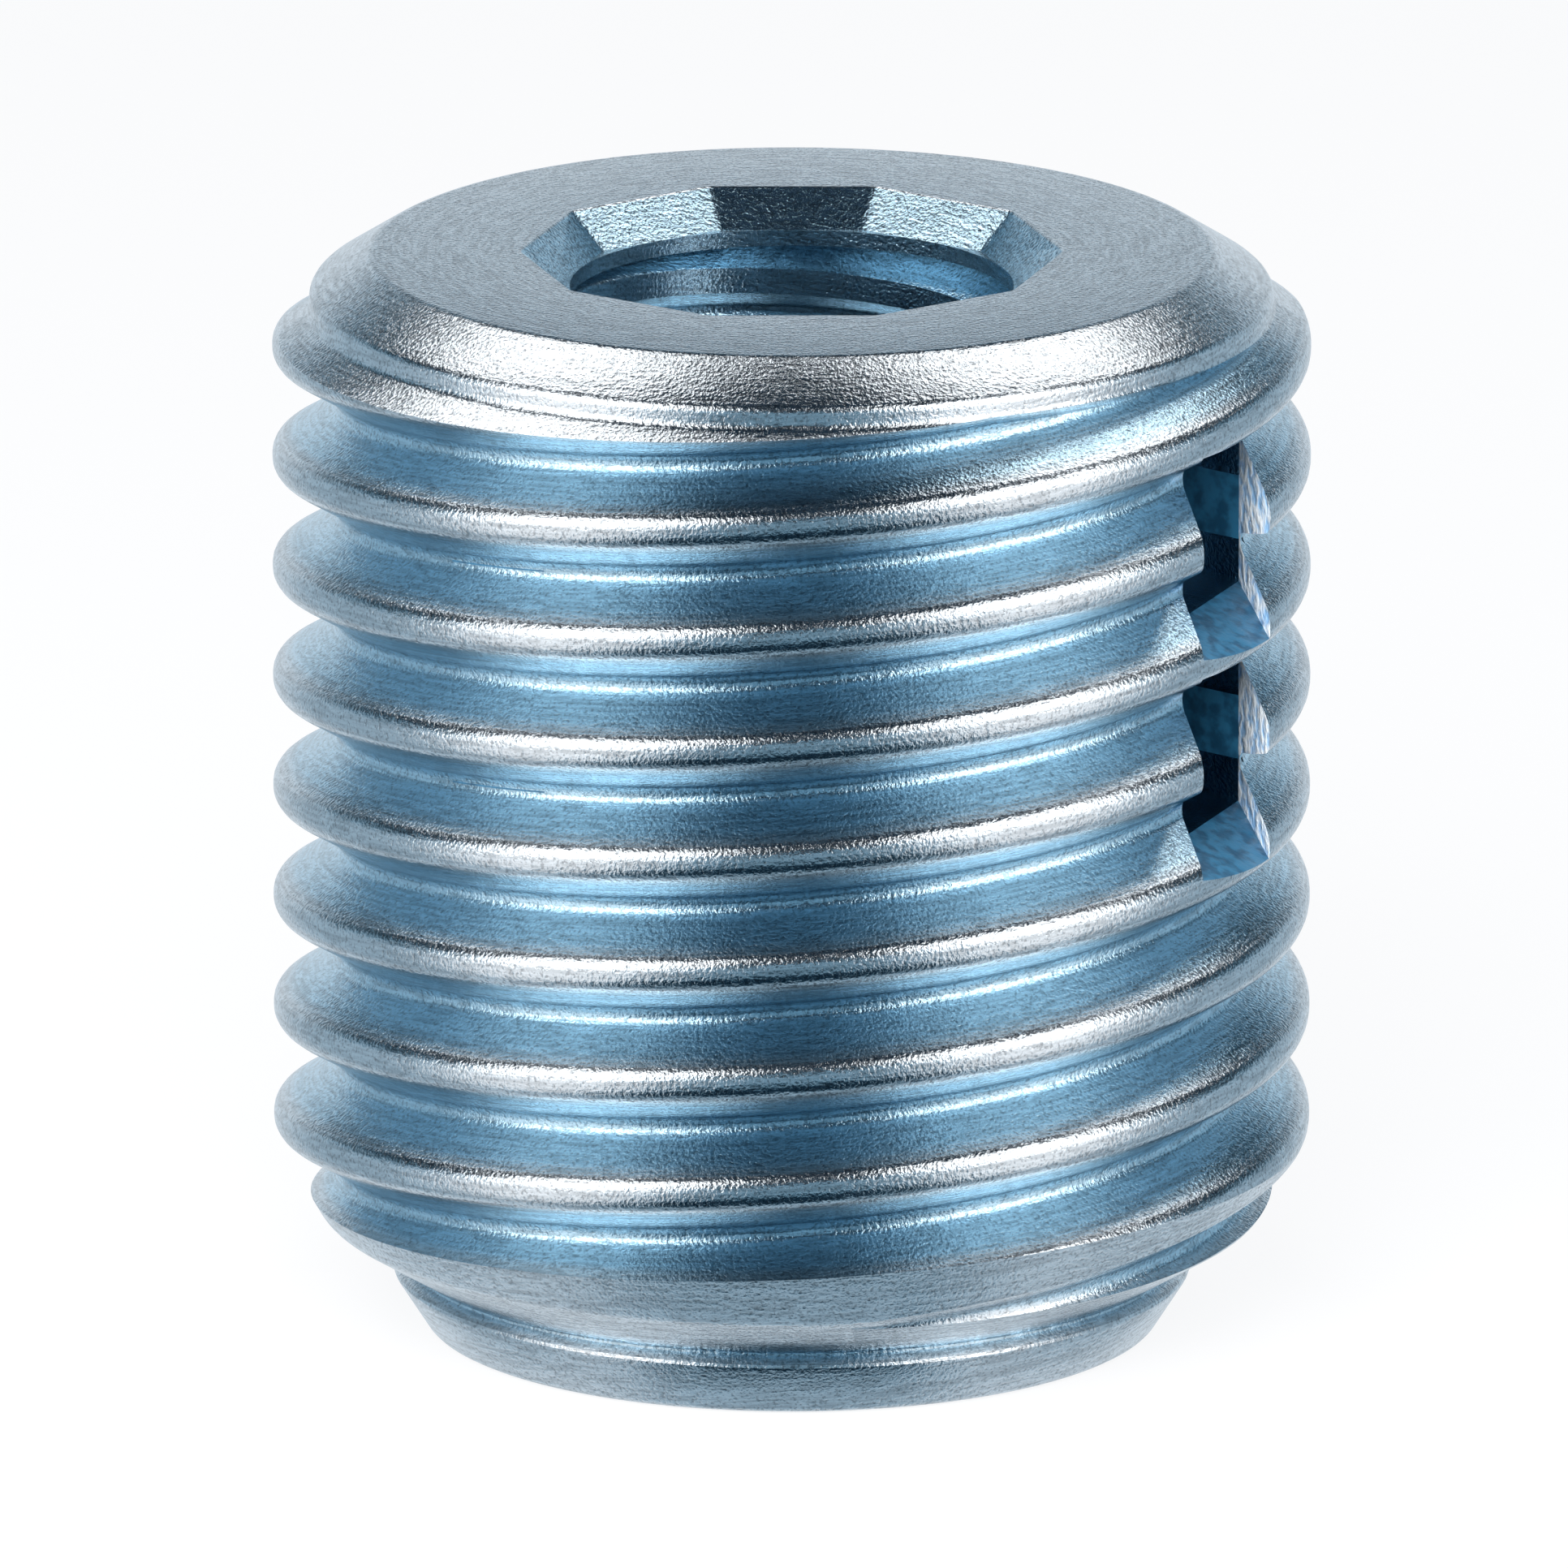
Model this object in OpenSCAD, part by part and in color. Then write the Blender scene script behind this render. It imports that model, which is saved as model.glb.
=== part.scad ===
// Self-tapping threaded insert, one piece of zinc-plated steel.
// It stands on its lead end with its axis along Z; the driving socket is at the top.
// Azimuths are measured from the -Y side, turning towards +X.

/* [Outer thread] */
// Diameter over the crests of the outer thread
thread_d = 16; // [15.2:0.1:20]
// Distance along the axis from one crest to the next
thread_pitch = 1.75; // [1.55:0.05:2.2]
// Number of separate ridges that wind round the body
thread_starts = 2; // [1:1:3]
// Depth of the groove, measured along the radius
thread_depth = 0.95; // [0.5:0.05:1.1]
// Width of the flat land on top of each ridge
crest_w = 0.43; // [0.3:0.01:0.6]
// Length by which the edges of the land are broken, along the land and the flank
crest_break = 0.14; // [0.02:0.01:0.14]
// Angle between the two flanks of a groove
flank_angle = 60; // [45:1:62]
// Height at which the upper edge of the lowest whole land passes the -Y side
thread_start_z = 0.87; // [0:0.01:1.7]

/* [Ends] */
// Length of the insert
body_h = 17; // [15:0.1:30]
// Diameter of the flat face round the socket
top_face_d = 12.96; // [11:0.1:13.5]
// Diameter of the plain collar under the top chamfer
collar_d = 14.86; // [14:0.1:15.1]
// Height of the top chamfer
top_chamfer_h = 0.6; // [0.3:0.05:0.8]
// Height of the collar with its chamfer, above the run-out of the thread
collar_h = 0.9; // [0.9:0.05:1.6]
// Diameter of the flat face at the lead end
lead_face_d = 11.26; // [10:0.1:12]
// Diameter over the upper edge of the tapered band at the lead end
lead_band_d = 12.4; // [12:0.1:12.8]
// Height of the tapered band at the lead end
lead_band_h = 0.89; // [0.4:0.05:1.2]
// Depth of the small groove over the band, measured along the radius
lead_groove_depth = 0.25; // [0.1:0.05:0.4]
// Radial distance from the crests to the step in the lead cone
lead_step_depth = 0.7; // [0.4:0.05:0.9]
// Height of the step, over which the lead cone is steeper
lead_step_h = 1.85; // [1.6:0.05:2.3]
// Height of the lead cone, measured to the full thread diameter
lead_h = 3.05; // [2.4:0.05:5]

/* [Bore] */
// Diameter of the bore, the minor diameter of the inner thread
bore_d = 6.8; // [5:0.1:7]
// Diameter over the corners of the driving socket at its mouth
socket_mouth_d = 8.4; // [7.8:0.1:9.5]
// Diameter over the corners of the driving socket at its floor
socket_floor_d = 7.2; // [7.2:0.05:7.7]
// Depth of the driving socket
socket_depth = 0.55; // [0.3:0.05:1.5]
// Number of flats round the driving socket
socket_flats = 10; // [6:2:12]
// Diameter of the countersink at the lead end of the bore
lead_sink_d = 8.2; // [7.2:0.1:9.5]
// Depth of the countersink at the lead end of the bore
lead_sink_depth = 0.7; // [0.3:0.05:1.5]

/* [Cutting windows] */
// Number of rows of windows round the body
window_rows = 2; // [1:1:3]
// Number of windows in a row
windows_in_row = 2; // [1:1:3]
// Number of the ridge, counted down from the top, that the first window stands on
first_sill_ridge = 4; // [3:1:5]
// Azimuth of the middle of a window, where it cuts the core
window_azimuth = 68.5; // [0:0.1:360]
// Width of a window, where it cuts the core
window_w = 2.45; // [1.2:0.05:3]
// Rake of the cutting faces on the ridges, away from the radius
ridge_rake = 53.5; // [0:0.5:58]
// Rake of the window's walls inside the core, away from the radius
core_rake = 19; // [0:0.5:30]
// Distance from the upper edge of the land down to the outer edge of the sill
sill_drop = 0.1; // [0:0.01:0.2]
// Slope of the sill outside the core, down towards the outside
sill_angle = 24; // [0:1:28]
// Height of the rib on the far wall of a window
rib_h = 1.01; // [0.5:0.05:1.3]
// Distance from the sill at the core up to the rib
rib_rise = 0.67; // [0.4:0.05:1]
// Depth to which the far wall stands back, above and below the rib
wall_set_back = 0.15; // [0.05:0.01:0.3]

/* [Hidden] */

// Facets of a full turn on the helical ridges
turn_facets = 60;
// Fineness of the turned surfaces
$fn = 96;
// Length by which a cutting shape passes the face it opens
overshoot = 1;
// Whole ridges that the screw has to spare beyond each end
spare_ridges = 1;
// Reach of a window outside the core, in depths of the groove
reach_depths = 3;
// Part of the bore's radius at which a window ends
window_end_part = 0.4;

crest_r = thread_d / 2;
root_r = crest_r - thread_depth;
bore_r = bore_d / 2;
thread_lead = thread_pitch * thread_starts;
flank_slope = tan(flank_angle / 2);
flank_w = thread_depth * flank_slope;
collar_r = collar_d / 2;
shoulder_z = body_h - collar_h;

// One ridge as pairs of radius and height, from its lower root to its upper root.
// Height 0 is the upper edge of its land before that edge is broken.
break_in = crest_break * cos(flank_angle / 2);
break_up = crest_break * sin(flank_angle / 2);
ridge_profile = [
    [root_r, -crest_w - flank_w],
    [crest_r - break_in, -crest_w - break_up],
    [crest_r, -crest_w + crest_break],
    [crest_r, -crest_break],
    [crest_r - break_in, break_up],
    [root_r, flank_w]
];
ridge_points = len(ridge_profile);
points_in_lead = ridge_points * thread_starts;

// The screw is longer than the body by more than a lead at each end,
// and the turned outline trims it there.
ridges_below = ceil((thread_lead + overshoot) / thread_pitch) + spare_ridges;
ridges_above = ceil((body_h + overshoot) / thread_pitch) + spare_ridges;
ridge_count = ridges_below + ridges_above;
row_count = ridge_points * ridge_count;

// Height of the upper edge of the land of ridge k at an azimuth
function land_edge_z(k, azimuth) =
    thread_start_z + k * thread_pitch + thread_lead * azimuth / 360;

// Point in plan at a radius and an azimuth
function plan(r, azimuth) = [r * sin(azimuth), -r * cos(azimuth)];

// Column i of the screw, counted round the axis, and row j, counted up the profile
function screw_point(i, j) =
    let (
        azimuth = 360 * i / turn_facets,
        profile = ridge_profile[j % ridge_points],
        ridge = floor(j / ridge_points) - ridges_below
    )
    concat(plan(profile[0], azimuth), land_edge_z(ridge, azimuth) + profile[1]);

function at(i, j) = i * row_count + j;

// Solid screw: the core and all its ridges in one skin, closed by a point at each end
module screw() {
    last_column = turn_facets - 1;
    last_row = row_count - 1;
    low_tip = turn_facets * row_count;
    high_tip = low_tip + 1;
    points = concat(
        [for (i = [0:last_column], j = [0:last_row]) screw_point(i, j)],
        [[0, 0, screw_point(0, 0)[2] - overshoot]],
        [[0, 0, screw_point(last_column, last_row)[2] + overshoot]]
    );
    wall = [
        for (i = [0:last_column - 1], j = [0:last_row - 1])
            each [
                [at(i, j), at(i, j + 1), at(i + 1, j + 1)],
                [at(i, j), at(i + 1, j + 1), at(i + 1, j)]
            ]
    ];
    seam = [
        for (j = [0:last_row - 1 - points_in_lead])
            let (k = j + points_in_lead)
            each [
                [at(last_column, j), at(last_column, j + 1), at(0, k + 1)],
                [at(last_column, j), at(0, k + 1), at(0, k)]
            ]
    ];
    low_fan = concat(
        [for (i = [0:last_column - 1]) [at(i, 0), at(i + 1, 0), low_tip]],
        [[at(last_column, 0), at(0, points_in_lead), low_tip]],
        [concat([low_tip], [for (j = [points_in_lead:-1:0]) at(0, j)])]
    );
    high_fan = concat(
        [for (i = [0:last_column - 1]) [at(i + 1, last_row), at(i, last_row), high_tip]],
        [[at(0, last_row), at(last_column, last_row - points_in_lead), high_tip]],
        [concat([high_tip], [for (j = [last_row - points_in_lead:last_row]) at(last_column, j)])]
    );
    polyhedron(points = points, faces = concat(wall, seam, low_fan, high_fan), convexity = 12);
}

// Blank that fills the thread's grooves at the collar. Its under side slopes like the
// lower flank of a ridge, so the top ridge comes out of it.
module collar_blank() {
    wide_r = crest_r + overshoot;
    core_r = root_r - overshoot;
    rotate_extrude()
        polygon([
            [0, shoulder_z - (collar_r - core_r) * flank_slope],
            [core_r, shoulder_z - (collar_r - core_r) * flank_slope],
            [wide_r, shoulder_z + (wide_r - collar_r) * flank_slope],
            [wide_r, body_h + overshoot],
            [0, body_h + overshoot]
        ]);
}

// Turned outline of the whole insert, which trims the screw to its ends
module turned_outline() {
    wide_r = crest_r + overshoot;
    groove_r = lead_band_d / 2 - lead_groove_depth;
    groove_h = lead_band_h + lead_groove_depth * flank_slope;
    step_r = crest_r - lead_step_depth;
    lead_slope = (lead_h - lead_step_h) / lead_step_depth;
    rotate_extrude()
        polygon([
            [0, 0],
            [lead_face_d / 2, 0],
            [lead_band_d / 2, lead_band_h],
            [groove_r, groove_h],
            [step_r, lead_step_h],
            [wide_r, lead_step_h + (wide_r - step_r) * lead_slope],
            [wide_r, shoulder_z - (wide_r - collar_r) * flank_slope],
            [collar_r, shoulder_z],
            [collar_r, body_h - top_chamfer_h],
            [top_face_d / 2, body_h],
            [0, body_h]
        ]);
}

module bore() {
    translate([0, 0, -overshoot])
        cylinder(h = body_h + 2 * overshoot, d = bore_d);
}

// Driving socket: a shallow tapered polygon at the mouth of the bore
module driving_socket() {
    taper = (socket_mouth_d - socket_floor_d) / socket_depth;
    translate([0, 0, body_h - socket_depth])
        cylinder(
            h = socket_depth + overshoot,
            d1 = socket_floor_d,
            d2 = socket_mouth_d + taper * overshoot,
            $fn = socket_flats
        );
}

// Countersink where the bore leaves the lead end
module lead_sink() {
    taper = (lead_sink_d - bore_d) / lead_sink_depth;
    translate([0, 0, -overshoot])
        cylinder(
            h = lead_sink_depth + overshoot,
            d1 = lead_sink_d + taper * overshoot,
            d2 = bore_d
        );
}

// One cutting window, with height 0 where its sill meets the core. Its walls turn at the
// core, so that the ridges end in raked cutting faces, and it ends inside the bore.
// Outside the core the sill slopes down. A rib is left on the far wall.
module cutting_window(window_h) {
    half_angle = asin(window_w / 2 / root_r);
    near = plan(root_r, window_azimuth - half_angle);
    far = plan(root_r, window_azimuth + half_angle);
    reach = thread_depth * reach_depths;
    outwards = plan(reach, window_azimuth - ridge_rake);
    inwards = -plan(root_r - bore_r * window_end_part, window_azimuth - core_rake);
    back = plan(wall_set_back, window_azimuth - core_rake + 90);
    // The two outermost corners of the sill lie at the low end of its slope.
    drop = reach * cos(ridge_rake) * tan(sill_angle);
    outline = [
        near + outwards,
        far + outwards,
        far,
        far + back,
        far + inwards + back,
        near + inwards,
        near
    ];
    corners = len(outline);
    difference() {
        polyhedron(
            points = concat(
                [for (i = [0:corners - 1]) concat(outline[i], i < 2 ? -drop : 0)],
                [for (p = outline) concat(p, window_h)]
            ),
            faces = concat(
                [[0, 1, 2, 6], [2, 3, 4, 5, 6]],
                [[for (i = [corners - 1:-1:0]) i + corners]],
                [for (i = [0:corners - 1])
                    let (k = (i + 1) % corners)
                    [k, i, i + corners, k + corners]]
            )
        );
        translate([0, 0, rib_rise])
            linear_extrude(rib_h)
                polygon([far, far + back * 2, far + inwards + back * 2, far + inwards]);
    }
}

// All the windows: each spans two grooves and the ridge between them,
// and stands on the land of the ridge below. The rows stand at like heights.
module cutting_windows() {
    half_angle = asin(window_w / 2 / root_r);
    near_lean = asin(root_r * sin(ridge_rake - half_angle) / crest_r);
    near_azimuth = window_azimuth - ridge_rake + near_lean;
    edge_to_core = crest_r * cos(window_azimuth - near_azimuth) - root_r * cos(half_angle);
    core_rise = edge_to_core * tan(sill_angle) - sill_drop;
    window_h = 2 * thread_pitch - crest_w - core_rise;
    top_ridge = floor((body_h - thread_start_z) / thread_pitch);
    for (row = [0:window_rows - 1], n = [0:windows_in_row - 1]) {
        turn = 360 * row / window_rows;
        climb = round(thread_starts * row / window_rows);
        sill_ridge = top_ridge - first_sill_ridge + 1 - 2 * n - climb;
        translate([0, 0, land_edge_z(sill_ridge, near_azimuth + turn) + core_rise])
            rotate([0, 0, turn])
                cutting_window(window_h);
    }
}

module insert_body() {
    color([0.62, 0.68, 0.73])
        difference() {
            intersection() {
                union() {
                    screw();
                    collar_blank();
                }
                turned_outline();
            }
            bore();
            driving_socket();
            lead_sink();
            cutting_windows();
        }
}

insert_body();
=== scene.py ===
# %% [markdown]
# The threaded insert
# This lesson dresses one small piece of hardware: a self-tapping insert of zinc-plated
# steel, 16 mm over its thread and 17 mm long. It is driven into a plain hole, where its
# coarse outer thread cuts its own way, and it then takes a screw in its bore.
# The imported solid is loaded first. It is the frame that everything here has to fit, so
# its box is kept and the insert's size is read from it.

# %% The frame
import math

import bpy
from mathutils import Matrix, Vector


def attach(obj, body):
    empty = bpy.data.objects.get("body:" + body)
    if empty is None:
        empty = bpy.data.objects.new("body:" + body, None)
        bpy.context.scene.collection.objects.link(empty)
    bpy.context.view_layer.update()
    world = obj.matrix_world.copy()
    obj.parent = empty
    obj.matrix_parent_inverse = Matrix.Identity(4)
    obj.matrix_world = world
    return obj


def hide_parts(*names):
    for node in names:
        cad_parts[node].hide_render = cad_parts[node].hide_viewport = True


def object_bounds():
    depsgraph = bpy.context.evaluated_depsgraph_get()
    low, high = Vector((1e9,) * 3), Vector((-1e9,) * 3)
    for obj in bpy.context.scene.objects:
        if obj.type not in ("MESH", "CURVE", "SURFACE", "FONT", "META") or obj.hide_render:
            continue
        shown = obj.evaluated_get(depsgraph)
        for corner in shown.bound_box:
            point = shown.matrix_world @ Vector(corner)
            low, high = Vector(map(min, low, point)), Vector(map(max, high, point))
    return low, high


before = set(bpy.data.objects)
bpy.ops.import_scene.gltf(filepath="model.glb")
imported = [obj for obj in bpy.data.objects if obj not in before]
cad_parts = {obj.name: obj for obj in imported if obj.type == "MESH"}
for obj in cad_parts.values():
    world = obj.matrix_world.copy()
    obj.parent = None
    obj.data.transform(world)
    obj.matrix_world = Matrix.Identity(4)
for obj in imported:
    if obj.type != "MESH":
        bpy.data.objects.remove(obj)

cad_low, cad_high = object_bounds()
print("packed box, in metres:", tuple(cad_low), tuple(cad_high))

# %% [markdown]
# Working size
# The edges of this insert are rounded by a few hundredths of a millimetre. Blender's
# modelling tools merge and cut with fixed tolerances that suit things a metre across, so
# the insert is modelled with one unit for each millimetre and shrunk once it is whole.
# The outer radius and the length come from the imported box. The other sizes are the
# insert's own, as its drawing would give them.

# %% Sizes in millimetres
MM = 0.001

crest_r = (cad_high.x - cad_low.x) / 2 / MM
body_h = (cad_high.z - cad_low.z) / MM

thread_pitch = 1.75
thread_starts = 2
thread_lead = thread_pitch * thread_starts
thread_depth = 0.95
crest_w = 0.43
flank_slope = math.tan(math.radians(30))
flank_w = thread_depth * flank_slope
root_r = crest_r - thread_depth
root_w = thread_pitch - crest_w - 2 * flank_w
thread_start_z = 0.87

top_face_r = 6.48
collar_r = 7.43
top_chamfer_h = 0.6
collar_h = 0.9
lead_face_r = 5.63
lead_band_r = 6.2
lead_band_h = 0.89
lead_groove_r = 5.95
lead_groove_h = lead_band_h + (lead_band_r - lead_groove_r) * flank_slope
lead_step_r = 7.3
lead_step_h = 1.85
lead_h = 3.05
lead_slope = (lead_h - lead_step_h) / (crest_r - lead_step_r)
collar_z = body_h - top_chamfer_h
shoulder_z = body_h - collar_h

bore_r = 3.4
socket_mouth_r = 4.2
socket_floor_r = 3.6
socket_depth = 0.55
socket_flats = 10

print("insert:", round(2 * crest_r, 3), "mm over the crests,", round(body_h, 3), "mm long")

# %% [markdown]
# Drawing a section
# A turned or threaded part is a section that is carried round an axis. A section could be
# drawn as a curve, but a curve gives no say over where its points fall. Here a plane is
# merged to a single point and that point is extruded from corner to corner, as by hand.
# Its corners are then rounded with a bevel on the points alone.

# %% Drawing and rounding a section
def work_on(piece):
    bpy.ops.object.select_all(action="DESELECT")
    piece.select_set(True)
    bpy.context.view_layer.objects.active = piece


def draw_line(name, points):
    bpy.ops.object.select_all(action="DESELECT")
    bpy.ops.mesh.primitive_plane_add(size=1)
    line = bpy.context.object
    line.name = name
    bpy.ops.object.mode_set(mode="EDIT")
    bpy.ops.mesh.select_mode(type="VERT")
    bpy.ops.mesh.select_all(action="SELECT")
    bpy.ops.mesh.merge(type="CENTER")
    bpy.ops.transform.translate(value=points[0])
    for here, there in zip(points, points[1:]):
        step = [b - a for a, b in zip(here, there)]
        bpy.ops.mesh.extrude_vertices_move(TRANSFORM_OT_translate={"value": step})
    bpy.ops.object.mode_set(mode="OBJECT")
    return line


def select_points(piece, wanted):
    work_on(piece)
    bpy.ops.object.mode_set(mode="EDIT")
    bpy.ops.mesh.select_mode(type="VERT")
    bpy.ops.mesh.select_all(action="DESELECT")
    bpy.ops.object.mode_set(mode="OBJECT")
    for point in piece.data.vertices:
        point.select = wanted(point.co)
    bpy.ops.object.mode_set(mode="EDIT")


def round_points(line, wanted, reach, segments):
    select_points(line, wanted)
    bpy.ops.mesh.bevel(offset=reach, segments=segments, affect="VERTICES")
    bpy.ops.object.mode_set(mode="OBJECT")


# %% [markdown]
# The outer thread
# The thread is a ridge with a narrow land and two flanks at 60 degrees, wound as a
# right-hand screw. The thread could be a bump on a cylinder, but its outline against the
# light is what names the part, so it is real. One lead of the section is drawn on the
# -Y side, and the Screw modifier winds it, with the lead as its rise. Each turn meets the
# one below along the same line, so merging doubles makes one skin, and a cut with fill
# at each end makes it a solid.

# %% One lead of the thread's section
turn_steps = 144
spare_leads = 2
crest_round = 0.17
root_round = 0.1


def ridge_section(ridge):
    land_top = thread_start_z + (ridge - spare_leads * thread_starts) * thread_pitch
    return [
        (0, -root_r, land_top - crest_w - flank_w - root_w / 2),
        (0, -root_r, land_top - crest_w - flank_w),
        (0, -crest_r, land_top - crest_w),
        (0, -crest_r, land_top),
        (0, -root_r, land_top + flank_w),
    ]


thread_points = [point for ridge in range(thread_starts) for point in ridge_section(ridge)]
first_point = thread_points[0]
thread_points.append((0, -root_r, first_point[2] + thread_lead))
insert = draw_line("turned_insert", thread_points)

TINY = 0.001
section_low = first_point[2] + TINY
section_high = first_point[2] + thread_lead - TINY
round_points(
    insert,
    lambda co: co.y > TINY - root_r - TINY * 2 and section_low < co.z < section_high
    and any(
        abs(co.z - land_top - rise) < TINY
        for land_top in (p[2] for p in thread_points[3::5])
        for rise in (flank_w, -crest_w - flank_w)
    ),
    root_round,
    3,
)
round_points(insert, lambda co: co.y < TINY - crest_r, crest_round, 4)
print("section of one lead:", len(insert.data.vertices), "points")

# %% Winding the thread
MERGE = 0.0005


def wind(line, steps, rise=0, turns=1):
    work_on(line)
    screw = line.modifiers.new("turns", "SCREW")
    screw.axis = "Z"
    screw.angle = 2 * math.pi
    screw.screw_offset = rise
    screw.iterations = turns
    screw.steps = screw.render_steps = steps
    bpy.ops.object.modifier_apply(modifier=screw.name)
    bpy.ops.object.mode_set(mode="EDIT")
    bpy.ops.mesh.select_all(action="SELECT")
    bpy.ops.mesh.remove_doubles(threshold=MERGE)
    bpy.ops.mesh.normals_make_consistent(inside=False)
    bpy.ops.object.mode_set(mode="OBJECT")


def cut_level(piece, height, keep_above):
    work_on(piece)
    bpy.ops.object.mode_set(mode="EDIT")
    bpy.ops.mesh.select_all(action="SELECT")
    bpy.ops.mesh.bisect(
        plane_co=(0, 0, height),
        plane_no=(0, 0, 1),
        use_fill=True,
        clear_inner=keep_above,
        clear_outer=not keep_above,
        threshold=TINY / 10,
    )
    bpy.ops.mesh.select_all(action="SELECT")
    bpy.ops.mesh.normals_make_consistent(inside=False)
    bpy.ops.object.mode_set(mode="OBJECT")


OVER = 0.5
winds = math.ceil(body_h / thread_lead) + 2 * spare_leads
wind(insert, turn_steps, thread_lead, winds)
cut_level(insert, -OVER, True)
cut_level(insert, body_h + OVER, False)
print("wound thread:", len(insert.data.polygons), "faces")

# %% [markdown]
# The ends
# A lathe gives the insert its ends: a flat face and a wide chamfer at the top, under which
# the thread runs out, and a lead cone at the bottom. One turned outline holds all of them,
# and what the thread and the outline have in common is the insert. A Boolean modifier
# finds that exactly, where cutting each end by itself would need four tools. The turned
# shapes have other numbers of facets than the thread, so that no corner of one falls on
# an edge of another, which the modifier could not tell apart.

# %% Turning the collar and the outline
collar_steps = 137
outline_steps = 149
top_round = 0.07
collar_round = 0.1
shoulder_round = 0.1
lead_round = 0.1


def combine(piece, tools, operation):
    box = bpy.data.collections.new("tools")
    for tool in tools:
        box.objects.link(tool)
    work_on(piece)
    cut = piece.modifiers.new("cut", "BOOLEAN")
    cut.operation = operation
    cut.solver = "EXACT"
    cut.operand_type = "COLLECTION"
    cut.collection = box
    bpy.ops.object.modifier_apply(modifier=cut.name)
    for tool in tools:
        bpy.data.objects.remove(tool, do_unlink=True)
    bpy.data.collections.remove(box)
    print(operation.lower(), "leaves", len(piece.data.polygons), "faces")


wide_r = crest_r + OVER
under_r = root_r - OVER

blank_points = [
    (0, 0, shoulder_z - (collar_r - under_r) * flank_slope),
    (0, -under_r, shoulder_z - (collar_r - under_r) * flank_slope),
    (0, -wide_r, shoulder_z + (wide_r - collar_r) * flank_slope),
    (0, -wide_r, body_h + 2 * OVER),
    (0, 0, body_h + 2 * OVER),
]
collar_blank = draw_line("collar_blank", blank_points)
wind(collar_blank, collar_steps)
combine(insert, [collar_blank], "UNION")

outline_points = [
    (0, 0, 0),
    (0, -lead_face_r, 0),
    (0, -lead_band_r, lead_band_h),
    (0, -lead_groove_r, lead_groove_h),
    (0, -lead_step_r, lead_step_h),
    (0, -wide_r, lead_step_h + (wide_r - lead_step_r) * lead_slope),
    (0, -wide_r, shoulder_z - (wide_r - collar_r) * flank_slope),
    (0, -collar_r, shoulder_z),
    (0, -collar_r, collar_z),
    (0, -top_face_r, body_h),
    (0, 0, body_h),
]


def at_height(height):
    return lambda co: abs(co.z - height) < TINY and co.y < -TINY


outline = draw_line("outline", outline_points)
round_points(outline, at_height(body_h), top_round, 3)
round_points(outline, at_height(collar_z), collar_round, 3)
round_points(outline, at_height(shoulder_z), shoulder_round, 3)
for height in (0, lead_band_h, lead_groove_h, lead_step_h):
    round_points(outline, at_height(height), lead_round, 3)
wind(outline, outline_steps)
combine(insert, [outline], "INTERSECT")

# %% [markdown]
# The bore and its thread
# The bore takes a screw of 8 mm with a pitch of 1.25 mm. Its thread is the outer thread's
# opposite: grooves in a wall. So the screw that would fill it is wound in the same way and
# taken away from the body.

# %% Cutting the inner thread
inner_pitch = 1.25
inner_major_r = 4.0
inner_flat = inner_pitch / 8
inner_flank_w = (inner_major_r - bore_r) * math.tan(math.radians(30))
inner_start_z = 0.2
inner_round = 0.05
inner_steps = 96

groove_low = inner_start_z - 2 * inner_pitch
inner_points = [
    (0, -bore_r, groove_low),
    (0, -inner_major_r, groove_low + inner_flank_w),
    (0, -inner_major_r, groove_low + inner_flank_w + inner_flat),
    (0, -bore_r, groove_low + 2 * inner_flank_w + inner_flat),
    (0, -bore_r, groove_low + inner_pitch),
]
inner_screw = draw_line("inner_screw", inner_points)
round_points(inner_screw, lambda co: co.y < TINY - inner_major_r, inner_round, 2)
wind(inner_screw, inner_steps, inner_pitch, math.ceil(body_h / inner_pitch) + 4)
cut_level(inner_screw, -OVER, True)
cut_level(inner_screw, body_h - socket_depth - 0.25, False)
print("inner screw:", len(inner_screw.data.polygons), "faces")

# %% [markdown]
# The driving socket and the countersink
# A tool with ten flats drives the insert. Its socket is a shallow cone of ten facets, whose
# slanted corners have a small fillet that catches the light. A cone primitive with ten
# sides has that shape, and a bevel on its slanted edges makes the fillets. The same
# operator with many sides makes the countersink at the lead end.

# %% Cutting the socket
socket_fillet = 0.07
lead_sink_r = 4.1
lead_sink_depth = 0.7
entry_h = 0.4
entry_gap = 0.02
entry_steps = 90


def cone_tool(sides, low_z, low_r, high_z, high_r):
    bpy.ops.object.select_all(action="DESELECT")
    bpy.ops.mesh.primitive_cone_add(
        vertices=sides,
        radius1=low_r,
        radius2=high_r,
        depth=high_z - low_z,
        location=(0, 0, (low_z + high_z) / 2),
        rotation=(0, 0, math.pi / sides),
    )
    tool = bpy.context.object
    bpy.ops.object.transform_apply(location=True, rotation=True, scale=False)
    return tool


def select_edges(piece, wanted):
    work_on(piece)
    bpy.ops.object.mode_set(mode="EDIT")
    bpy.ops.mesh.select_mode(type="EDGE")
    bpy.ops.mesh.select_all(action="DESELECT")
    bpy.ops.object.mode_set(mode="OBJECT")
    points = piece.data.vertices
    for edge in piece.data.edges:
        ends = [points[i].co for i in edge.vertices]
        edge.select = wanted(*ends)
    bpy.ops.object.mode_set(mode="EDIT")


socket_z = body_h - socket_depth
socket_slope = (socket_mouth_r - socket_floor_r) / socket_depth
socket = cone_tool(
    socket_flats, socket_z, socket_floor_r, body_h + OVER, socket_mouth_r + OVER * socket_slope
)
select_edges(socket, lambda a, b: abs(a.z - b.z) > TINY)
bpy.ops.mesh.bevel(offset=socket_fillet, segments=2, affect="EDGES")
bpy.ops.object.mode_set(mode="OBJECT")

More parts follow.
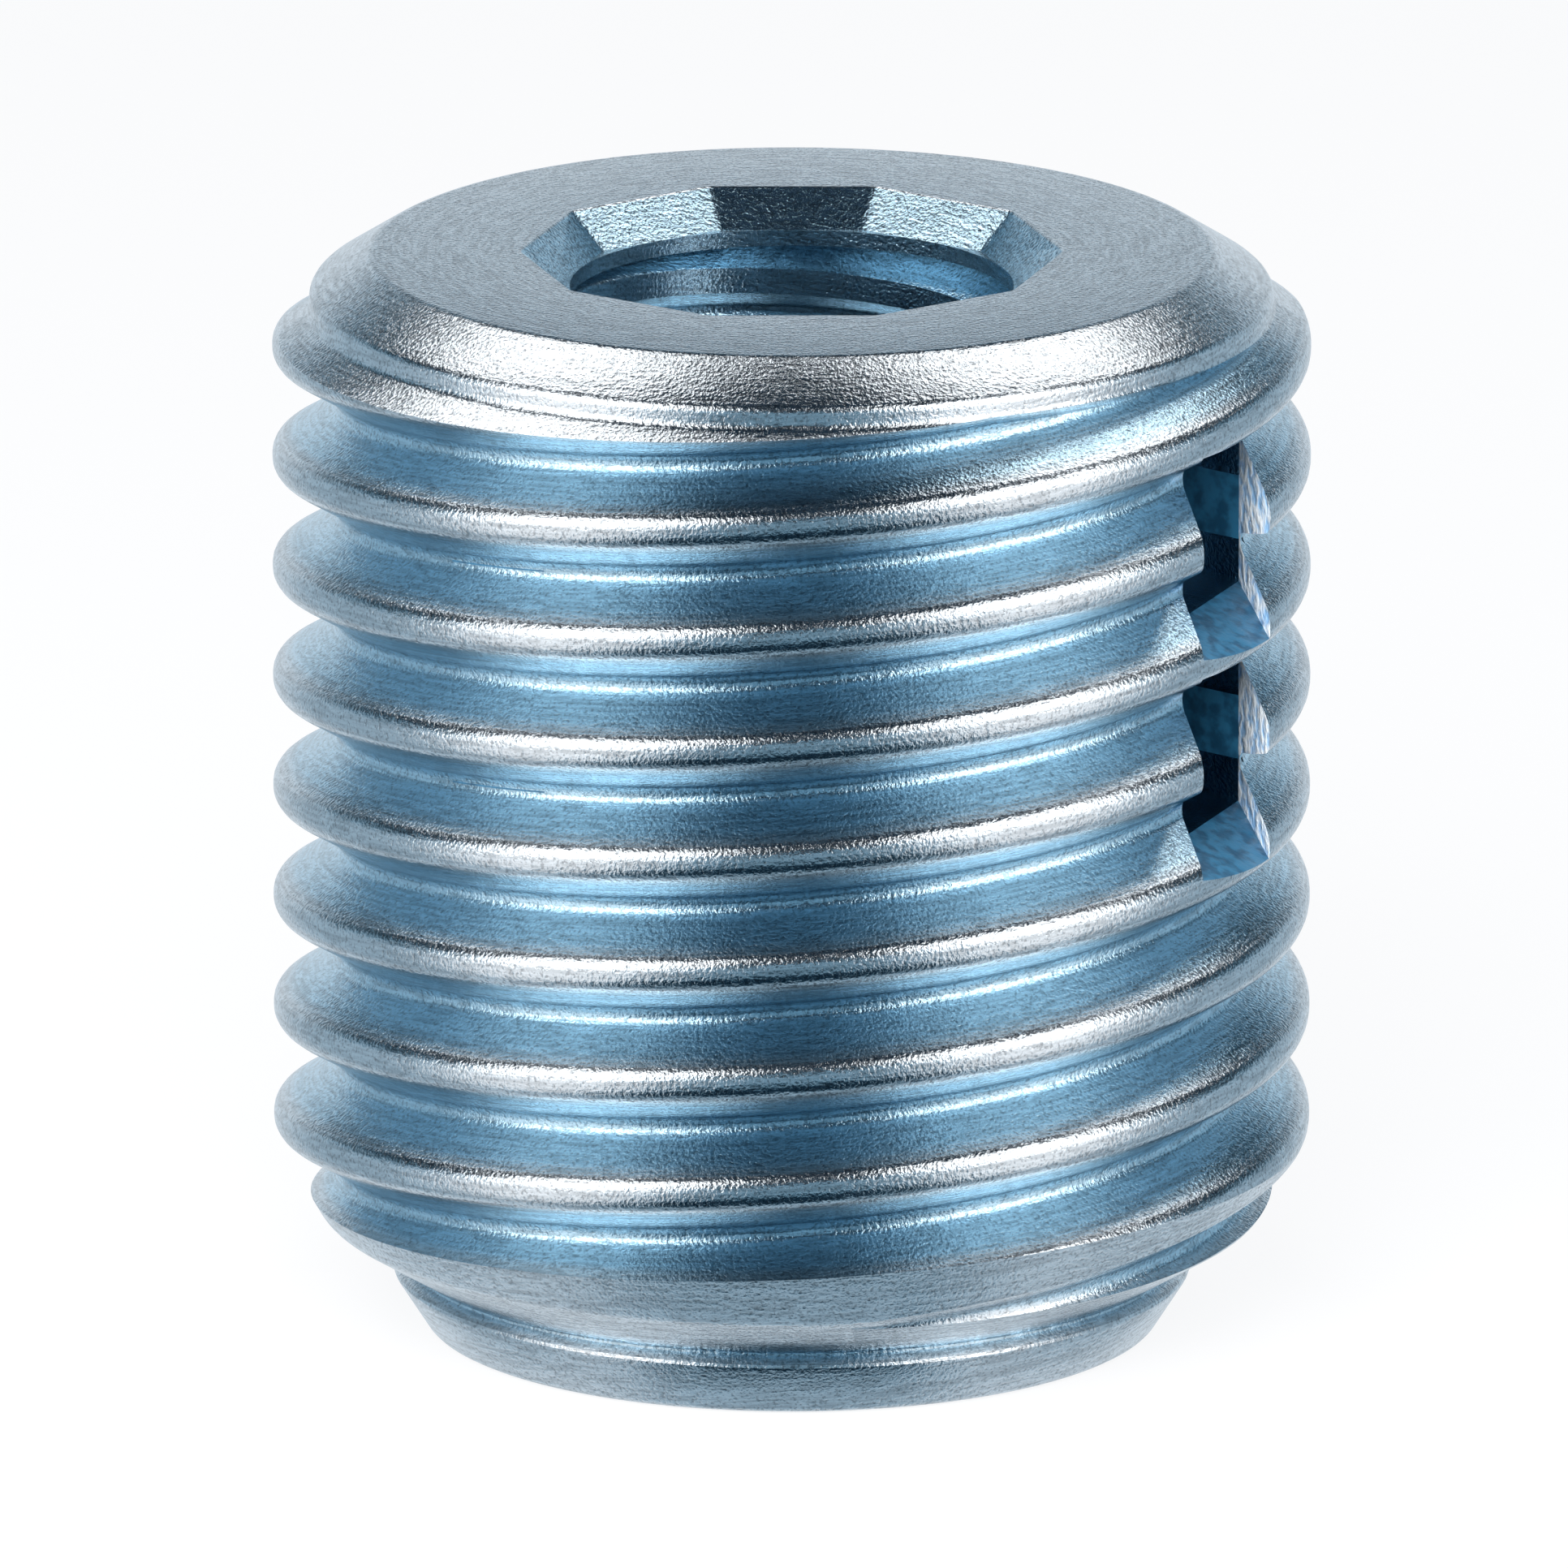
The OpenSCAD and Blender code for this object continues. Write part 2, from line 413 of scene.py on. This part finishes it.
entry = cone_tool(
    entry_steps, socket_z - entry_h, bore_r + entry_gap, socket_z + entry_gap, bore_r + entry_gap
)
sink_slope = (lead_sink_r - bore_r) / lead_sink_depth
lead_sink = cone_tool(
    entry_steps,
    -OVER,
    lead_sink_r + OVER * sink_slope,
    lead_sink_depth + OVER,
    bore_r - OVER * sink_slope,
)
print("socket, entry and countersink are ready")

# %% [markdown]
# The cutting windows
# Two windows, one above the other, open the ridges and the wall, and two more lie
# opposite. The end of each ridge there is a cutting edge, raked forward like the tooth of
# a tap, and chips fall through the wall into the bore. Each window is one outline, seen
# from above, that is extruded upwards. The outer part of its sill slopes down, and a rib
# is left on the far wall. All the cutting tools work in one step, so that the modifier
# rounds its results only once.

# %% Cutting the windows
window_azimuth = 68.5
window_w = 2.45
ridge_rake = 53.5
core_rake = 19
window_rows = 2
windows_in_row = 2
first_sill_ridge = 4
sill_drop = 0.1
sill_angle = 24
rib_h = 1.01
rib_rise = 0.67
wall_set_back = 0.15
bend_gap = 0.03


def on_plan(radius, azimuth):
    turn = math.radians(azimuth)
    return radius * math.sin(turn), -radius * math.cos(turn)


def shifted(point, *steps):
    return tuple(sum(parts) for parts in zip(point, *steps))


def extruded(name, around, low_z, high_z):
    corners = [(x, y, low_z) for x, y in around]
    block = draw_line(name, corners + corners[:1])
    work_on(block)
    bpy.ops.object.mode_set(mode="EDIT")
    bpy.ops.mesh.select_all(action="SELECT")
    bpy.ops.mesh.remove_doubles(threshold=MERGE)
    bpy.ops.mesh.edge_face_add()
    bpy.ops.mesh.extrude_region_move(
        TRANSFORM_OT_translate={"value": (0, 0, high_z - low_z)}
    )
    bpy.ops.mesh.select_all(action="SELECT")
    bpy.ops.mesh.normals_make_consistent(inside=False)
    bpy.ops.object.mode_set(mode="OBJECT")
    return block


half_angle = math.degrees(math.asin(window_w / 2 / root_r))
near_lean = math.asin(root_r * math.sin(math.radians(ridge_rake - half_angle)) / crest_r)
near_azimuth = window_azimuth - ridge_rake + math.degrees(near_lean)
edge_to_core = crest_r * math.cos(
    math.radians(window_azimuth - near_azimuth)
) - root_r * math.cos(math.radians(half_angle))
core_rise = edge_to_core * math.tan(math.radians(sill_angle)) - sill_drop
window_h = 2 * thread_pitch - crest_w - core_rise


def window_tool(sill_z, turn):
    azimuth = window_azimuth + turn
    reach = 3 * thread_depth
    near = on_plan(root_r - bend_gap, azimuth - half_angle)
    far = on_plan(root_r - bend_gap, azimuth + half_angle)
    outwards = on_plan(reach, azimuth - ridge_rake)
    inwards = on_plan(bore_r * 0.4 - root_r, azimuth - core_rake)
    back = on_plan(wall_set_back, azimuth - core_rake + 90)
    around = [
        shifted(near, outwards),
        shifted(far, outwards),
        far,
        shifted(far, back),
        shifted(far, inwards, back),
        shifted(near, inwards),
        near,
    ]
    tool = extruded("window_tool", around, sill_z, sill_z + window_h)
    select_points(
        tool,
        lambda co: abs(co.z - sill_z) < TINY
        and min(math.dist(co.xy, near), math.dist(co.xy, far)) < TINY,
    )
    bpy.ops.mesh.vert_connect()
    bpy.ops.object.mode_set(mode="OBJECT")
    select_points(
        tool, lambda co: abs(co.z - sill_z) < TINY and co.xy.length > crest_r
    )
    drop = reach * math.cos(math.radians(ridge_rake)) * math.tan(math.radians(sill_angle))
    bpy.ops.transform.translate(value=(0, 0, -drop))
    bpy.ops.object.mode_set(mode="OBJECT")
    rib_around = [
        far,
        shifted(far, back, back),
        shifted(far, inwards, back, back),
        shifted(far, inwards),
    ]
    rib_z = sill_z + rib_rise
    combine(tool, [extruded("rib", rib_around, rib_z, rib_z + rib_h)], "DIFFERENCE")
    return tool


tools = [inner_screw, socket, entry, lead_sink]
sills = []
top_ridge = math.floor((body_h - thread_start_z) / thread_pitch)
for row in range(window_rows):
    turn = 360 * row / window_rows
    climb = round(thread_starts * row / window_rows)
    for number in range(windows_in_row):
        sill_ridge = top_ridge - first_sill_ridge + 1 - 2 * number - climb
        land_z = (
            thread_start_z
            + sill_ridge * thread_pitch
            + thread_lead * (near_azimuth + turn) / 360
        )
        sill_z = land_z + core_rise
        tools.append(window_tool(sill_z, turn))
        sills.append((turn, sill_z))
combine(insert, tools, "DIFFERENCE")

# %% [markdown]
# Shading the mesh
# The rounded corners are made of narrow strips that turn by 15 degrees or less, while real
# edges turn by more. Smooth shading by angle tells the two apart. The piece is then shrunk
# to its real size, with its place kept in its mesh.

# %% Smoothing and shrinking
smooth_angle = 22

work_on(insert)
bpy.ops.object.mode_set(mode="EDIT")
bpy.ops.mesh.select_all(action="SELECT")
bpy.ops.mesh.remove_doubles(threshold=MERGE)
bpy.ops.mesh.normals_make_consistent(inside=False)
bpy.ops.object.mode_set(mode="OBJECT")
insert.scale = (MM, MM, MM)
bpy.ops.object.transform_apply(location=True, rotation=True, scale=True)
bpy.ops.object.shade_smooth_by_angle(angle=math.radians(smooth_angle))
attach(insert, "root")
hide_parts("insert_body")

insert.data.calc_loop_triangles()
print("insert mesh:", len(insert.data.loop_triangles), "triangles")

# %% [markdown]
# Shader maths
# A finish is easier to read as sums than as a web of nodes. This class wraps one socket of
# a shader. Arithmetic on it adds Math nodes, and node() adds any other node.

# %% A socket that can be used in sums
class Wire:
    def __init__(self, tree, socket=None):
        self.tree = tree
        self.socket = socket

    def node(self, kind, settings=None, inputs=None, output=0):
        made = self.tree.nodes.new("ShaderNode" + kind)
        for name, value in (settings or {}).items():
            setattr(made, name, value)
        for name, value in (inputs or {}).items():
            if isinstance(value, Wire):
                self.tree.links.new(value.socket, made.inputs[name])
            else:
                made.inputs[name].default_value = value
        socket = made.outputs[output] if len(made.outputs) else None
        return Wire(self.tree, socket)

    def math(self, operation, *values):
        return self.node("Math", {"operation": operation}, dict(enumerate(values)))

    def __add__(self, other):
        return self.math("ADD", self, other)

    __radd__ = __add__

    def __sub__(self, other):
        return self.math("SUBTRACT", self, other)

    def __rsub__(self, other):
        return self.math("SUBTRACT", other, self)

    def __mul__(self, other):
        return self.math("MULTIPLY", self, other)

    __rmul__ = __mul__

    def __truediv__(self, other):
        return self.math("DIVIDE", self, other)

    def ramp(self, low, high):
        ends = {"Value": self, "From Min": low, "From Max": high}
        return self.node("MapRange", {"interpolation_type": "SMOOTHSTEP"}, ends)

    def times(self, level):
        return self.node("VectorMath", {"operation": "SCALE"}, {0: self, "Scale": level})

    def blend(self, colour_a, colour_b):
        return self.node(
            "Mix", {"data_type": "RGBA"}, {0: self, 6: colour_a, 7: colour_b}, output=2
        )


# %% [markdown]
# The zinc finish
# Bright zinc with a blue passivate is one finish with several faces. Where a tool or a
# hand has rubbed it, on the ends and the lands, it is a plain silver grey. In the grooves
# the blue film is whole and deep. The grey and the blue are told apart by how deep a point
# lies under the insert's turned outline, which its radius and height give.
# Two textures lie over both: a fine grain from the plating, and turning lines that
# follow the thread.

# %% The finish of the plated steel
lines_per_mm = 16


def zinc_finish():
    finish = bpy.data.materials.new("blue_zinc")
    finish.use_nodes = True
    tree = finish.node_tree
    tree.nodes.clear()
    start = Wire(tree)

    place = start.node("TexCoord", output=3)
    place_mm = start.node(
        "VectorMath", {"operation": "SCALE"}, {0: place, "Scale": 1 / MM}
    )
    x = start.node("SeparateXYZ", inputs={0: place_mm}, output=0)
    y = start.node("SeparateXYZ", inputs={0: place_mm}, output=1)
    z = start.node("SeparateXYZ", inputs={0: place_mm}, output=2)
    radius = start.math("SQRT", x * x + y * y)

    cone_r = lead_step_r + (z - lead_step_h) / lead_slope
    low_cone_r = lead_groove_r + (z - lead_groove_h) * (
        (lead_step_r - lead_groove_r) / (lead_step_h - lead_groove_h)
    )
    band_r = lead_face_r + z * ((lead_band_r - lead_face_r) / lead_band_h)
    run_out_r = collar_r + (shoulder_z - z) / flank_slope
    chamfer_r = top_face_r + (body_h - z) * ((collar_r - top_face_r) / top_chamfer_h)
    outline_r = start.math(
        "MINIMUM",
        start.math("MINIMUM", cone_r, start.math("MAXIMUM", low_cone_r, band_r)),
        start.math(
            "MINIMUM",
            start.math("MAXIMUM", run_out_r, collar_r),
            start.math("MINIMUM", chamfer_r, crest_r),
        ),
    )
    depth = outline_r - radius
    groove = depth.ramp(0.1, 0.4)
    top = z.ramp(body_h - 0.03, body_h - 0.01)
    blue = groove * (1 - top)

    angle = start.math("ARCTAN2", x, -1 * y)
    phase = z * (2 * math.pi / thread_lead) - angle
    wander = start.node("TexNoise", inputs={"Vector": place_mm, "Scale": 0.7, "Detail": 1})
    wound = lines_per_mm * thread_lead / (2 * math.pi)
    lines_at = start.node(
        "CombineXYZ",
        inputs={
            0: start.math("COSINE", phase) * wound,
            1: start.math("SINE", phase) * wound,
            2: radius * lines_per_mm,
        },
    )
    lines = start.node(
        "TexNoise",
        {"noise_dimensions": "4D"},
        {"Vector": lines_at, "W": wander * 12, "Scale": 1, "Detail": 2},
    )
    grain = start.node("TexNoise", inputs={"Vector": place_mm, "Scale": 18, "Detail": 2})
    height = grain * 0.012 + lines * 0.006
    pits = grain.ramp(0.3, 0.5) * 0.4 + 0.6
    streaks = lines.ramp(0.3, 0.65) * 0.35 + 0.75
    # Deeper than the thread's root, on the walls inside the windows, the blue film colour is
    # darkened: this is painted shade of the recess. The lighter blue is the film's own colour.
    deep_shade = depth.ramp(0.9, 1.3) * radius.ramp(bore_r + 0.7, bore_r + 0.9)
    film_and_shade = deep_shade.blend((0.47, 0.65, 0.76, 1), (0.18, 0.33, 0.45, 1))
    plating = blue.blend((0.64, 0.68, 0.71, 1), film_and_shade)
    colour = plating.times(pits * streaks)
    bump = start.node(
        "Bump", inputs={"Strength": 1, "Distance": MM, "Height": height}
    )
    surface = start.node(
        "BsdfPrincipled",
        inputs={
            "Base Color": colour,
            "Metallic": 1,
            "Roughness": 0.2,
            "Normal": bump,
        },
    )
    start.node("OutputMaterial", inputs={"Surface": surface})
    return finish


def dull_finish(name, dark, pale, clot_height):
    finish = bpy.data.materials.new(name)
    finish.use_nodes = True
    tree = finish.node_tree
    tree.nodes.clear()
    start = Wire(tree)
    place = start.node("TexCoord", output=3)
    clots = start.node("TexNoise", inputs={"Vector": place, "Scale": 4 / MM, "Detail": 3})
    bump = start.node(
        "Bump", inputs={"Strength": 1, "Distance": MM, "Height": clots * clot_height}
    )
    surface = start.node(
        "BsdfPrincipled",
        inputs={
            "Base Color": clots.ramp(0.35, 0.6).blend(dark, pale),
            "Roughness": 0.35,
            "Normal": bump,
        },
    )
    start.node("OutputMaterial", inputs={"Surface": surface})
    return finish


insert.data.materials.append(zinc_finish())
# The cut faces of the ridges get a rough, pale, nearly white finish: partly the bare torn metal
# of the cut, partly a painted highlight of the light that falls on them.
insert.data.materials.append(
    dull_finish("torn_zinc_painted_highlight", (0.35, 0.6, 0.9, 1), (0.95, 0.98, 1, 1), 0.1)
)
# The rib wall and the sill inside each window get a dull, near-black blue: painted shade of the
# recess.
insert.data.materials.append(
    dull_finish("window_painted_shade", (0.008, 0.05, 0.1, 1), (0.02, 0.11, 0.2, 1), 0.02)
)


def faces_towards(azimuth):
    facing = on_plan(1, azimuth)
    return [
        face
        for face in insert.data.polygons
        if facing[0] * face.normal.x + facing[1] * face.normal.y > 0.99
    ]


for turn, sill_z in sills:
    azimuth = window_azimuth + turn
    corner = on_plan(root_r * MM, azimuth + half_angle)
    # Cut faces at the end of each ridge: the pale finish with its painted highlight.
    for face in faces_towards(azimuth - ridge_rake - 90):
        if math.dist(face.center.xy, corner) < 2 * MM:
            face.material_index = 1
    # Faces of the rib on the far wall: the near-black painted shade.
    for face in faces_towards(azimuth - core_rake - 90):
        rise = face.center.z / MM - sill_z - rib_rise
        if 0 < rise < rib_h and bore_r * MM < face.center.xy.length < root_r * MM:
            face.material_index = 2
    # Upward faces of the sill: the same near-black painted shade.
    middle = on_plan(root_r * MM, azimuth)
    for face in insert.data.polygons:
        near = math.dist(face.center.xy, middle) < 3 * MM
        level = abs(face.center.z / MM - sill_z) < core_rise + 2 * sill_drop
        if face.normal.z > 0.9 and near and level:
            face.material_index = 2
counts = [0, 0, 0]
for face in insert.data.polygons:
    counts[face.material_index] += 1
print("finishes:", insert.data.materials.keys(), "on", counts, "faces")

# %% [markdown]
# The studio
# Metal shows its surroundings, so the light is most of the look. Two soft boxes stand
# left and right in front, and two hang overhead with a dark gap between them. The pale
# floor reaches far enough to fill the camera's view.

# %% Floor, lights and camera
def area_light(name, azimuth, elevation, distance, width, height, radiance):
    turn = math.radians(azimuth)
    rise = math.radians(elevation)
    data = bpy.data.lights.new(name, "AREA")
    data.shape = "RECTANGLE"
    data.size = width
    data.size_y = height
    data.energy = radiance * math.pi * width * height
    lamp = bpy.data.objects.new(name, data)
    bpy.context.scene.collection.objects.link(lamp)
    centre_z = body_h * MM / 2
    lamp.location = (
        distance * math.cos(rise) * math.sin(turn),
        -distance * math.cos(rise) * math.cos(turn),
        centre_z + distance * math.sin(rise),
    )
    lamp.rotation_euler = (math.pi / 2 - rise, 0, turn)
    lamp.visible_camera = False
    return lamp


floor_gap = 0.02

for side in (-1, 1):
    area_light("front_box", 52 * side, 32, 0.13, 0.11, 0.1, 2.5)
    area_light("top_box", 132 * side, 60, 0.13, 0.06, 0.07, 2.5)
fill = area_light("fill", -10, 30, 0.13, 0.08, 0.08, 20)
fill.visible_glossy = False

bpy.ops.object.select_all(action="DESELECT")
bpy.ops.mesh.primitive_plane_add(size=4, location=(0, 0, -floor_gap * MM))
floor = bpy.context.object
floor.name = "floor"


def floor_finish():
    finish = bpy.data.materials.new("pale_floor")
    finish.use_nodes = True
    tree = finish.node_tree
    tree.nodes.clear()
    start = Wire(tree)
    seen = start.node("LightPath", output=0)
    mirrored = start.node("LightPath", output=3)
    matt = start.node("BsdfDiffuse", inputs={0: (0.8, 0.8, 0.8, 1)})
    white = start.node("Emission", inputs={0: (0.985, 0.99, 1, 1), 1: 1})
    shown = start.node("MixShader", inputs={0: seen * 0.9, 1: matt, 2: white})
    place = start.node("TexCoord", output=3)
    away = start.node("VectorMath", {"operation": "LENGTH"}, {0: place}, output=1)
    beyond = away.ramp(lead_sink_r * MM, lead_face_r * MM)
    clear = start.node("BsdfTransparent")
    passed = start.node("MixShader", inputs={0: mirrored * beyond, 1: shown, 2: clear})
    start.node("OutputMaterial", inputs={"Surface": passed})
    return finish


floor.data.materials.append(floor_finish())

world = bpy.data.worlds.new("studio")
bpy.context.scene.world = world
world.use_nodes = True
world.node_tree.nodes.clear()
sky = Wire(world.node_tree)
direction = sky.node("TexCoord", output=0)
across = sky.node("SeparateXYZ", inputs={0: direction}, output=0)
back = sky.node("SeparateXYZ", inputs={0: direction}, output=1)
up = sky.node("SeparateXYZ", inputs={0: direction}, output=2)
side = sky.math("ABSOLUTE", across).ramp(0.3, 0.75)
behind = back.ramp(-0.5, 0.1)
ahead = (1 - behind) * up.ramp(-0.6, -0.2) * 0.4
around = side * (1 - behind * 0.5) + (1 - side) * (ahead + behind * 0.68)
below = 1 - up.ramp(-0.97, -0.85)
level = around * (1 - up.ramp(0.2, 0.6)) * (1 - below) + below * 0.5
dim = level.ramp(0, 0.5).blend((0.003, 0.02, 0.04, 1), (0.15, 0.31, 0.43, 1))
tone = level.ramp(0.3, 1).blend(dim, (1.25, 1.27, 1.3, 1))
background = sky.node("Background", inputs={0: tone, 1: 1.0})
sky.node("OutputWorld", inputs={"Surface": background})

camera_distance = 0.8
camera_elevation = 15
frame_width = 0.0242
image_px = 1932
object_centre_px = (975.5, 966)

camera_data = bpy.data.cameras.new("camera")
camera_data.sensor_width = 36
camera_data.lens = 36 * camera_distance / frame_width
camera_data.clip_start = 0.01
camera_data.clip_end = 10
camera = bpy.data.objects.new("camera", camera_data)
bpy.context.scene.collection.objects.link(camera)
rise = math.radians(camera_elevation)
camera.location = (
    0,
    -camera_distance * math.cos(rise),
    body_h * MM / 2 + camera_distance * math.sin(rise),
)
camera.rotation_euler = (math.pi / 2 - rise, 0, 0)
camera_data.shift_x = (image_px / 2 - object_centre_px[0]) / image_px
camera_data.shift_y = (object_centre_px[1] - image_px / 2) / image_px
bpy.context.scene.camera = camera
bpy.context.scene.view_settings.view_transform = "Standard"
